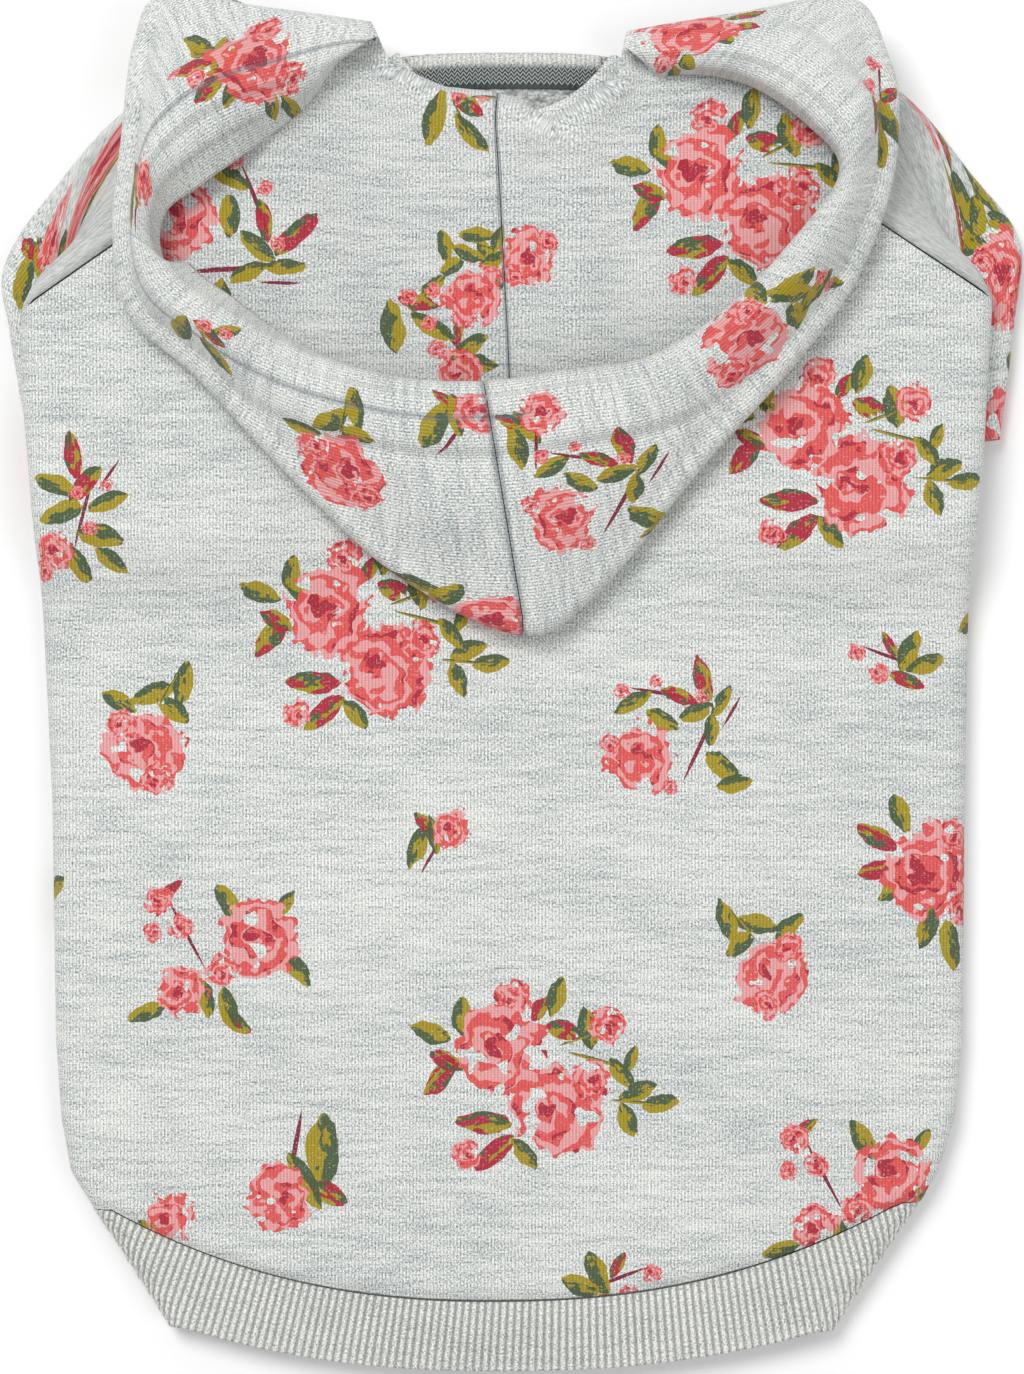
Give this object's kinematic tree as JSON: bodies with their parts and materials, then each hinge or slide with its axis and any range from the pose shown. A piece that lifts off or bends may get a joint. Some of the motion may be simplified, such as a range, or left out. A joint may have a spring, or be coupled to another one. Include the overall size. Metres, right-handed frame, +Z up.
{
  "type": "dog hoodie",
  "caption": "Pullover dog hoodie in heather knit with a scattered rose print, short raglan sleeves and a ribbed hem, laid flat back side up with its hood folded down.",
  "frame": {"origin": "on the surface that the hoodie lies on, under the middle of its laid outline", "axes": "+Y from the hem to the neck, +Z up from the surface, +X to the right with the back side up"},
  "size_m": [0.2566, 0.3424, 0.0411],
  "materials": {
    "printed_knit": "heather grey sweatshirt knit with a rose print, matt",
    "rib_knit": "heather grey 1x1 rib knit, matt",
    "neck_finish": "darker grey coverstitched neck finish, matt"
  },
  "bodies": {
    "root": {"back_panel": "printed_knit", "belly_panel": "printed_knit", "sleeve_left": "printed_knit", "sleeve_right": "printed_knit", "hood_left": "printed_knit", "hood_right": "printed_knit", "hem_rib": "rib_knit", "front_neck_band": "neck_finish"}
  },
  "joints": []
}
